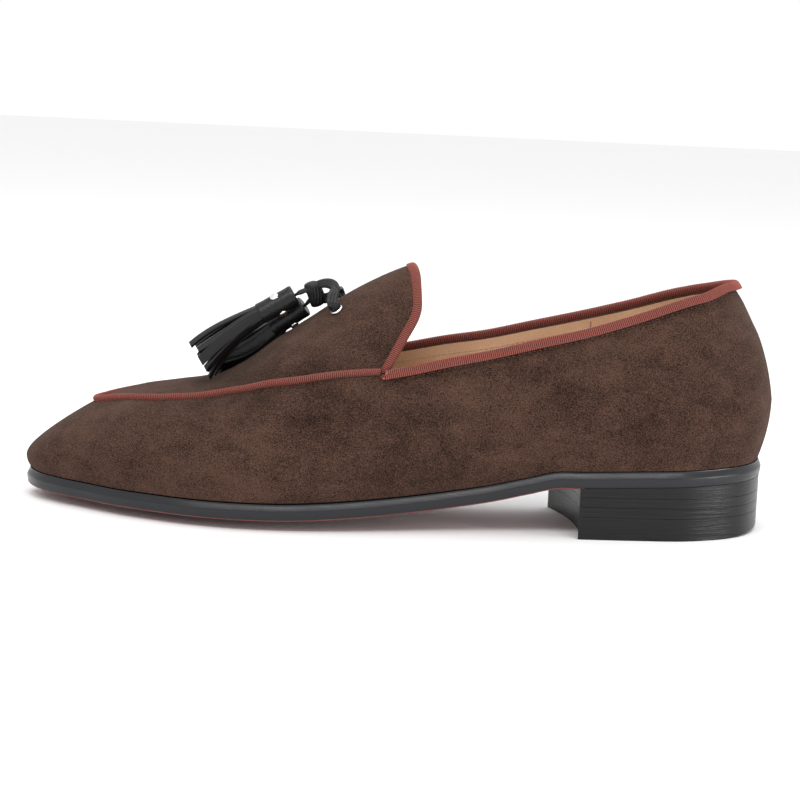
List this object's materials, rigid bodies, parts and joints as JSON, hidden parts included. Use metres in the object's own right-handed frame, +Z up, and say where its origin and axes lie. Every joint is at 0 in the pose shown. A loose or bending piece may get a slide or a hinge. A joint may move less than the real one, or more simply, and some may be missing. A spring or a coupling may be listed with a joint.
{
  "type": "tassel loafer",
  "caption": "Left tassel loafer in dark brown suede with ribbed burgundy piping and binding, black sole edge and stacked heel.",
  "frame": {"origin": "on the floor, in the middle of the flat bottom of the heel", "axes": "+Z up, -X towards the toe, -Y towards the outer side of the foot"},
  "size_m": [0.3045, 0.1028, 0.1031],
  "materials": {
    "suede": "matte",
    "grosgrain": "matte",
    "edge_black": "satin",
    "lining": "satin",
    "black_leather": "satin",
    "silver": "polished"
  },
  "bodies": {
    "root": {"outsole": "edge_black", "heel_top_lift": "edge_black", "heel_lift_1": "edge_black", "heel_lift_2": "edge_black", "heel_wedge_lift": "edge_black", "insole": "lining", "upper": "suede", "apron_piping": "grosgrain", "collar_binding": "grosgrain", "tongue_binding": "grosgrain", "eyelet_outer": "silver", "eyelet_inner": "silver", "lace_root_outer": "black_leather", "lace_root_inner": "black_leather", "lace_end_outer": "black_leather", "lace_end_inner": "black_leather", "lace_knot": "black_leather", "tassel_outer_cap": "black_leather", "tassel_outer_fringe": "black_leather", "tassel_outer_rivet_1": "silver", "tassel_outer_rivet_2": "silver", "tassel_outer_rivet_3": "silver", "tassel_inner_cap": "black_leather", "tassel_inner_fringe": "black_leather", "tassel_inner_rivet_1": "silver", "tassel_inner_rivet_2": "silver", "tassel_inner_rivet_3": "silver"}
  },
  "joints": []
}
